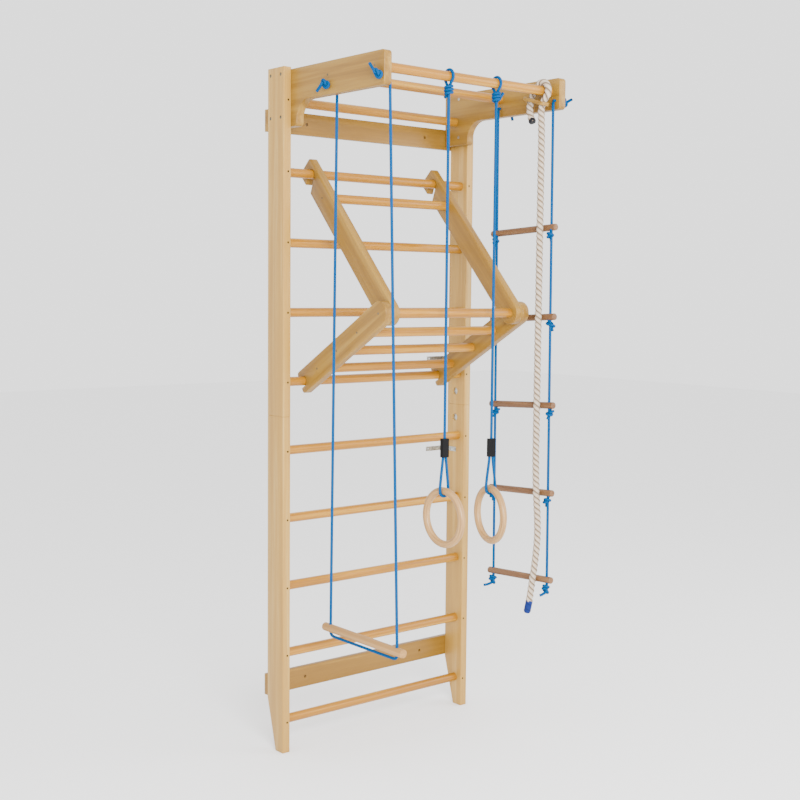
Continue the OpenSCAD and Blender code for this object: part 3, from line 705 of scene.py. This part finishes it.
# %% Wood
def lacquered_wood(name, pale, mid, dark, turn=(0, 0, 0), band_mm=16.0, contrast=0.55, rough=0.42):
    """turn, in degrees, brings the grain's direction onto X. Object coordinates are in metres."""
    mat, tree, shader = new_material(name)
    place = add_node(tree, "TexCoord")
    angles = tuple(math.radians(a) for a in turn)
    along = add_node(tree, "Mapping", [("Vector", place.outputs["Object"])], {"Rotation": angles})
    bands_at = add_node(
        tree, "Mapping", [("Vector", along.outputs[0])], {"Scale": (1.3, 1000 / band_mm, 1000 / band_mm)}
    )
    drift = add_node(tree, "Mapping", [("Vector", along.outputs[0])], {"Scale": (0.9, 7, 7)})
    fibre_at = add_node(tree, "Mapping", [("Vector", along.outputs[0])], {"Scale": (18, 900, 900)})
    bands = add_node(
        tree,
        "TexNoise",
        [("Vector", bands_at.outputs[0])],
        {"Scale": 1.0, "Detail": 5.0, "Roughness": 0.62, "Distortion": 0.5},
    )
    broad = add_node(tree, "TexNoise", [("Vector", drift.outputs[0])], {"Scale": 1.0, "Detail": 2.0})
    fibre = add_node(
        tree, "TexNoise", [("Vector", fibre_at.outputs[0])], {"Scale": 1.0, "Detail": 3.0, "Roughness": 0.7}
    )
    lines = add_node(tree, "Math", [(0, bands.outputs[0]), (1, broad.outputs[0])], operation="ADD")
    lines = add_node(tree, "Math", [(0, lines.outputs[0])], {1: 9.0}, operation="MULTIPLY")
    lines = add_node(tree, "Math", [(0, lines.outputs[0])], operation="SINE")
    lines = add_node(tree, "MapRange", [("Value", lines.outputs[0])], {"From Min": -1.0, "From Max": 1.0})
    soft = add_node(
        tree, "Mix", [("Factor", lines.outputs[0])], {"A": 0.62, "B": 0.38}, data_type="FLOAT"
    )
    tone = add_node(tree, "Math", [(0, soft.outputs[0]), (1, bands.outputs[0])], operation="MULTIPLY")
    tone = add_node(tree, "Math", [(0, tone.outputs[0])], {1: 2.0}, operation="MULTIPLY")
    ramp = colour_ramp(
        tree,
        tone.outputs[0],
        [(0.5 - contrast / 2, linear(dark)), (0.5 + contrast / 2, linear(pale)), (0.5, linear(mid))],
    )
    fine = colour_ramp(tree, fibre.outputs[0], [(0.35, (0.86, 0.82, 0.76, 1)), (0.6, (1, 1, 1, 1))])
    colour = add_node(
        tree,
        "Mix",
        [("A", ramp.outputs[0]), ("B", fine.outputs[0])],
        {"Factor": 0.8},
        data_type="RGBA",
        blend_type="MULTIPLY",
    )
    tree.links.new(colour.outputs["Result"], shader.inputs["Base Color"])
    rougher = add_node(
        tree,
        "MapRange",
        [("Value", fibre.outputs[0])],
        {"To Min": rough - 0.06, "To Max": rough + 0.1},
    )
    tree.links.new(rougher.outputs[0], shader.inputs["Roughness"])
    bump = add_node(tree, "Bump", [("Height", fibre.outputs[0])], {"Strength": 0.12, "Distance": 0.0004})
    tree.links.new(bump.outputs[0], shader.inputs["Normal"])
    shader.inputs["IOR"].default_value = 1.4
    shader.inputs["Coat Weight"].default_value = 0.07
    shader.inputs["Coat Roughness"].default_value = 0.28
    return mat


UPPER_ANGLE = 47.41
LOWER_ANGLE = -29.95
PINE = ("#B8985B", "#AA843C", "#936A26")
EDGE_PINE = ("#9A782F", "#85611C", "#6B4A10")
ROUND_PINE = ("#B58426", "#A16C10", "#805206")
BEECH = ("#B28C58", "#A07843", "#856131")
DARK_BEECH = ("#7E5C3C", "#6B4A2D", "#56381F")
wood_finish = {
    "upright": lacquered_wood("pine_upright", *PINE, turn=(0, 90, 0), band_mm=22, contrast=1.0),
    "panel": lacquered_wood("pine_panel", *EDGE_PINE, turn=(0, 0, -90), band_mm=26, contrast=0.9),
    "board": lacquered_wood("pine_crossboard", *EDGE_PINE, band_mm=22, contrast=0.9),
    "dowel": lacquered_wood("pine_dowel", *ROUND_PINE, band_mm=12, contrast=0.7, rough=0.34),
    "upper_arm": lacquered_wood(
        "pine_upper_arm", *EDGE_PINE, turn=(-UPPER_ANGLE, 0, -90), band_mm=22, contrast=0.9
    ),
    "lower_arm": lacquered_wood(
        "pine_lower_arm", *EDGE_PINE, turn=(-LOWER_ANGLE, 0, -90), band_mm=22, contrast=0.9
    ),
    "beech": lacquered_wood("beech_turned", *BEECH, turn=(0, 0, -90), band_mm=14, contrast=0.7, rough=0.5),
    "rung": lacquered_wood(
        "beech_ladder_rung", *DARK_BEECH, turn=(0, 0, -90), band_mm=14, contrast=0.7, rough=0.5
    ),
}
print("wood finishes:", len(wood_finish))


# %% Beech of the bent rings
def bent_beech():
    """Beech shows short dark flecks, 1 to 4 mm long, along the grain that follows the ring."""
    mat, tree, shader = new_material("beech_ring")
    place = add_node(tree, "UVMap", uv_map="along")
    long_way = add_node(tree, "Mapping", [("Vector", place.outputs[0])], {"Scale": (0.35, 0.012, 1)})
    fleck_at = add_node(tree, "Mapping", [("Vector", place.outputs[0])], {"Scale": (1.1, 0.28, 1)})
    bands = add_node(tree, "TexNoise", [("Vector", long_way.outputs[0])], {"Scale": 1.0, "Detail": 4.0})
    flecks = add_node(tree, "TexNoise", [("Vector", fleck_at.outputs[0])], {"Scale": 1.0, "Detail": 2.0})
    pale, mid, deep = (linear(code) for code in BEECH)
    base = colour_ramp(tree, bands.outputs[0], [(0.3, deep), (0.7, pale), (0.5, mid)])
    dark = colour_ramp(tree, flecks.outputs[0], [(0.3, (0.72, 0.62, 0.54, 1)), (0.44, (1, 1, 1, 1))])
    colour = add_node(
        tree,
        "Mix",
        [("A", base.outputs[0]), ("B", dark.outputs[0])],
        {"Factor": 0.8},
        data_type="RGBA",
        blend_type="MULTIPLY",
    )
    tree.links.new(colour.outputs["Result"], shader.inputs["Base Color"])
    bump = add_node(tree, "Bump", [("Height", flecks.outputs[0])], {"Strength": 0.1, "Distance": 0.0003})
    tree.links.new(bump.outputs[0], shader.inputs["Normal"])
    shader.inputs["Roughness"].default_value = 0.46
    shader.inputs["Coat Weight"].default_value = 0.12
    shader.inputs["Coat Roughness"].default_value = 0.3
    return mat


ring_beech = bent_beech()

# %% [markdown]
# The blue rope is a braid over a core: two sets of yarns wind round it in opposite directions and pass
# over and under each other. Each crossing shows as a small rounded block, about 2 mm long. The blocks are
# painted in a lit blue and the valleys between them in a shaded blue: painted shade.


# %% Braided cord
def braided_cord(name, light, dark):
    mat, tree, shader = new_material(name)
    place = add_node(tree, "UVMap", uv_map="along")
    parts = add_node(tree, "SeparateXYZ", [(0, place.outputs[0])])
    around = add_node(tree, "Math", [(0, parts.outputs["X"])], {1: 8.0}, operation="MULTIPLY")
    down = add_node(tree, "Math", [(0, parts.outputs["Y"])], {1: 1 / 3.2}, operation="MULTIPLY")
    one = add_node(tree, "Math", [(0, around.outputs[0]), (1, down.outputs[0])], operation="ADD")
    two = add_node(tree, "Math", [(0, around.outputs[0]), (1, down.outputs[0])], operation="SUBTRACT")
    waves = []
    for source in (one, two):
        turn = add_node(tree, "Math", [(0, source.outputs[0])], {1: math.pi}, operation="MULTIPLY")
        wave = add_node(tree, "Math", [(0, turn.outputs[0])], operation="SINE")
        waves.append(add_node(tree, "Math", [(0, wave.outputs[0])], operation="ABSOLUTE"))
    crossing = [(0, waves[0].outputs[0]), (1, waves[1].outputs[0])]
    height = add_node(tree, "Math", crossing, operation="MULTIPLY")
    height = add_node(tree, "Math", [(0, height.outputs[0])], {1: 0.5}, operation="POWER")
    # Painted shade: the ramp gives the low valleys between the yarns the dark colour and the crossings the
    # light colour.
    colour = colour_ramp(tree, height.outputs[0], [(0.1, linear(dark)), (0.7, linear(light))])
    tree.links.new(colour.outputs[0], shader.inputs["Base Color"])
    bump = add_node(tree, "Bump", [("Height", height.outputs[0])], {"Strength": 0.5, "Distance": 0.0006})
    tree.links.new(bump.outputs[0], shader.inputs["Normal"])
    shader.inputs["Roughness"].default_value = 0.7
    shader.inputs["IOR"].default_value = 1.15
    shader.inputs["Sheen Weight"].default_value = 0.02
    shader.inputs["Sheen Roughness"].default_value = 0.4
    return mat


# Two blues for the braid: the rope as lit, and the rope in shade, which is painted into the valleys.
blue_braid = braided_cord("polypropylene_braid_blue", "#004A80", "#001C38")

# %% [markdown]
# The climbing rope is cotton. Its three strands show by their shape. Each strand is itself spun from many
# yarns that lie at a slant the other way. The valleys between strands are painted darker as shade, and so
# are the fine grooves between the yarns.


# %% Laid cotton
def laid_cotton():
    mat, tree, shader = new_material("laid_cotton_rope")
    place = add_node(tree, "UVMap", uv_map="along")
    parts = add_node(tree, "SeparateXYZ", [(0, place.outputs[0])])
    third = add_node(tree, "Math", [(0, parts.outputs["X"])], {1: 3.0}, operation="MULTIPLY")
    within = add_node(tree, "Math", [(0, third.outputs[0])], operation="FRACT")
    valley = add_node(tree, "MapRange", [("Value", within.outputs[0])], {"To Min": -1.0, "To Max": 1.0})
    valley = add_node(tree, "Math", [(0, valley.outputs[0])], operation="ABSOLUTE")
    across = add_node(tree, "Math", [(0, parts.outputs["X"])], {1: 24.0}, operation="MULTIPLY")
    down = add_node(tree, "Math", [(0, parts.outputs["Y"])], {1: 1 / 3.0}, operation="MULTIPLY")
    yarn = add_node(tree, "Math", [(0, across.outputs[0]), (1, down.outputs[0])], operation="SUBTRACT")
    yarn = add_node(tree, "Math", [(0, yarn.outputs[0])], {1: 2 * math.pi}, operation="MULTIPLY")
    yarn = add_node(tree, "Math", [(0, yarn.outputs[0])], operation="SINE")
    yarn = add_node(tree, "MapRange", [("Value", yarn.outputs[0])], {"From Min": -1.0, "From Max": 1.0})
    fuzz_at = add_node(tree, "TexCoord")
    fuzz_from = [("Vector", fuzz_at.outputs["Object"])]
    fuzz = add_node(tree, "TexNoise", fuzz_from, {"Scale": 700.0, "Detail": 3.0})
    # Painted shade: the colour darkens from the middle of each strand to the valleys between the strands.
    painted_valley_shade = [(0.4, linear("#BBAC9B")), (0.96, linear("#54432F")), (0.75, linear("#8F7B64"))]
    shade = colour_ramp(tree, valley.outputs[0], painted_valley_shade)
    # Painted shade: the fine yarn lines are darker in the grooves between the yarns.
    lines = colour_ramp(tree, yarn.outputs[0], [(0.0, (0.84, 0.81, 0.76, 1)), (0.6, (1, 1, 1, 1))])
    colour = add_node(
        tree,
        "Mix",
        [("A", shade.outputs[0]), ("B", lines.outputs[0])],
        {"Factor": 0.7},
        data_type="RGBA",
        blend_type="MULTIPLY",
    )
    tree.links.new(colour.outputs["Result"], shader.inputs["Base Color"])
    rough = add_node(tree, "Math", [(0, yarn.outputs[0]), (1, fuzz.outputs[0])], operation="ADD")
    bump = add_node(tree, "Bump", [("Height", rough.outputs[0])], {"Strength": 0.45, "Distance": 0.0006})
    tree.links.new(bump.outputs[0], shader.inputs["Normal"])
    shader.inputs["Roughness"].default_value = 0.9
    shader.inputs["Sheen Weight"].default_value = 0.05
    return mat


cotton = laid_cotton()

# %% [markdown]
# The small things. The adjusters are moulded black nylon with a fine grain. Brackets and nuts are zinc
# plated, which gives a pale grey with faint cloudy patches. Screws and bolts are darker. The tape on the
# rope's ends is PVC: it is wound on, so a step shows at each turn, with a band of painted shade along it,
# and it shines a little.


# %% Nylon, steel and tape
def grained_plastic(name, colour, grain_mm, rough):
    mat, tree, shader = new_material(name)
    place = add_node(tree, "TexCoord")
    grain = add_node(
        tree, "TexNoise", [("Vector", place.outputs["Object"])], {"Scale": 1000 / grain_mm, "Detail": 2.0}
    )
    tint = colour_ramp(tree, grain.outputs[0], [(0.3, linear(colour)), (0.8, linear("#151517"))])
    tree.links.new(tint.outputs[0], shader.inputs["Base Color"])
    bump = add_node(tree, "Bump", [("Height", grain.outputs[0])], {"Strength": 0.25, "Distance": 0.0003})
    tree.links.new(bump.outputs[0], shader.inputs["Normal"])
    shader.inputs["Roughness"].default_value = rough
    shader.inputs["IOR"].default_value = 1.2
    return mat


def plated_steel(name, pale, dark, rough):
    mat, tree, shader = new_material(name)
    place = add_node(tree, "TexCoord")
    cloud = add_node(tree, "TexNoise", [("Vector", place.outputs["Object"])], {"Scale": 160.0, "Detail": 4.0})
    fine = add_node(tree, "TexNoise", [("Vector", place.outputs["Object"])], {"Scale": 1400.0, "Detail": 2.0})
    tint = colour_ramp(tree, cloud.outputs[0], [(0.3, linear(dark)), (0.7, linear(pale))])
    tree.links.new(tint.outputs[0], shader.inputs["Base Color"])
    spread = {"To Min": rough - 0.08, "To Max": rough + 0.12}
    gloss = add_node(tree, "MapRange", [("Value", fine.outputs[0])], spread)
    tree.links.new(gloss.outputs[0], shader.inputs["Roughness"])
    shader.inputs["Metallic"].default_value = 1.0
    return mat


def wound_tape(name, light, dark, width_mm):
    mat, tree, shader = new_material(name)
    place = add_node(tree, "UVMap", uv_map="along")
    parts = add_node(tree, "SeparateXYZ", [(0, place.outputs[0])])
    down = add_node(tree, "Math", [(0, parts.outputs["Y"])], {1: 1 / width_mm}, operation="MULTIPLY")
    turn = add_node(tree, "Math", [(0, down.outputs[0]), (1, parts.outputs["X"])], operation="ADD")
    step = add_node(tree, "Math", [(0, turn.outputs[0])], operation="FRACT")
    # Painted shade: the dark colour is a band along each step, where one turn of tape lies on the last.
    stops = [(0.0, dark), (1.0, dark), (0.12, light), (0.9, light)]
    tint = colour_ramp(tree, step.outputs[0], [(at, linear(code)) for at, code in stops])
    tree.links.new(tint.outputs[0], shader.inputs["Base Color"])
    bump = add_node(tree, "Bump", [("Height", step.outputs[0])], {"Strength": 0.5, "Distance": 0.0005})
    tree.links.new(bump.outputs[0], shader.inputs["Normal"])
    shader.inputs["Roughness"].default_value = 0.45
    shader.inputs["IOR"].default_value = 1.25
    return mat


nylon = grained_plastic("moulded_nylon_black", "#050506", 1.2, 0.6)
zinc = plated_steel("zinc_plated_steel", "#C4C4BE", "#8F8F8C", 0.36)
bolt_steel = plated_steel("yellowish_plated_steel", "#73726A", "#4A4A42", 0.5)
dark_steel = plated_steel("dark_plated_steel", "#1C1915", "#0D0B09", 0.5)
# Each tape has its own colour and a darker one, which is painted shade along the steps.
black_tape = wound_tape("pvc_tape_dark", "#17181D", "#08090B", 14.0)
blue_tape = wound_tape("pvc_tape_blue", "#0B2260", "#050F36", 19.0)
print("small finishes: 6")


# %% Give every piece its finish
def finish_for(name, slot):
    if "upright" in name:
        return wood_finish["upright"]
    if "panel_eased" in name:
        return wood_finish["panel"]
    if "upper_arm" in name:
        return wood_finish["upper_arm"]
    if "lower_arm" in name:
        return wood_finish["lower_arm"]
    if "board" in name and slot == "pine":
        return wood_finish["board"]
    if name.startswith("gym_ring"):
        return ring_beech
    if name.startswith("ladder_rung"):
        return wood_finish["rung"]
    if name == "rope_toggle_eased":
        return wood_finish["panel"]
    if name.startswith("dark_tape"):
        return black_tape
    if name in ("panel_bolts", "bar_screws", "unit_screws"):
        return bolt_steel
    by_slot = {
        "pine": wood_finish["dowel"],
        "beech": wood_finish["beech"],
        "blue_rope": blue_braid,
        "white_rope": cotton,
        "blue_tape": blue_tape,
        "black_plastic": nylon,
        "zinc_steel": zinc,
        "dark_screw": dark_steel,
    }
    return by_slot[slot]


def dress(obj, slot):
    obj.data.materials.clear()
    obj.data.materials.append(finish_for(obj.name, slot))


for obj, slot in made:
    dress(obj, slot)
replaced = set(wood) | {"ring_left", "ring_right"}
for name, obj in frame["nodes"].items():
    if name not in replaced:
        mat = finish_for(name, SLOT[name])
        for place in obj.material_slots:
            place.material = mat
print("dressed:", len(made), "new pieces and", len(frame["nodes"]), "CAD nodes")

# %% [markdown]
# A white studio: one large sheet of pale paper on the floor, a big soft lamp above the camera's left
# shoulder, a weaker one from the right, and an even white sky that fills the shadows.


# %% Studio
def studio_floor():
    mat, tree, shader = new_material("studio_paper")
    place = add_node(tree, "TexCoord")
    grain = add_node(tree, "TexNoise", [("Vector", place.outputs["Object"])], {"Scale": 300.0, "Detail": 2.0})
    tint = colour_ramp(tree, grain.outputs[0], [(0.3, linear("#F4F4F4")), (0.7, linear("#F7F7F7"))])
    tree.links.new(tint.outputs[0], shader.inputs["Base Color"])
    shader.inputs["Roughness"].default_value = 0.9
    mesh = bpy.data.meshes.new("studio_floor")
    bm = bmesh.new()
    corners = [bm.verts.new(v) for v in ((-14, -14, 0), (14, -14, 0), (14, 14, 0), (-14, 14, 0))]
    bm.faces.new(corners)
    bm.to_mesh(mesh)
    bm.free()
    mesh.materials.append(mat)
    obj = bpy.data.objects.new("studio_floor", mesh)
    scene.collection.objects.link(obj)
    return obj


def soft_lamp(name, at, aim, size, power):
    data = bpy.data.lights.new(name, "AREA")
    data.shape = "DISK"
    data.size = size
    data.energy = power
    lamp = bpy.data.objects.new(name, data)
    lamp.location = at
    lamp.rotation_euler = (Vector(aim) - Vector(at)).to_track_quat("-Z", "Y").to_euler()
    scene.collection.objects.link(lamp)
    return lamp


studio_floor()
soft_lamp("key_lamp", (-2.0, -4.2, 2.4), (0, -0.3, 1.1), 2.2, 420)
soft_lamp("fill_lamp", (3.2, -3.0, 2.4), (0, -0.3, 1.1), 2.6, 90)
world = bpy.data.worlds.new("studio_sky")
world.use_nodes = True
sky = world.node_tree.nodes["Background"]
sky.inputs["Color"].default_value = (1, 1, 1, 1)
sky.inputs["Strength"].default_value = 2.0
scene.world = world
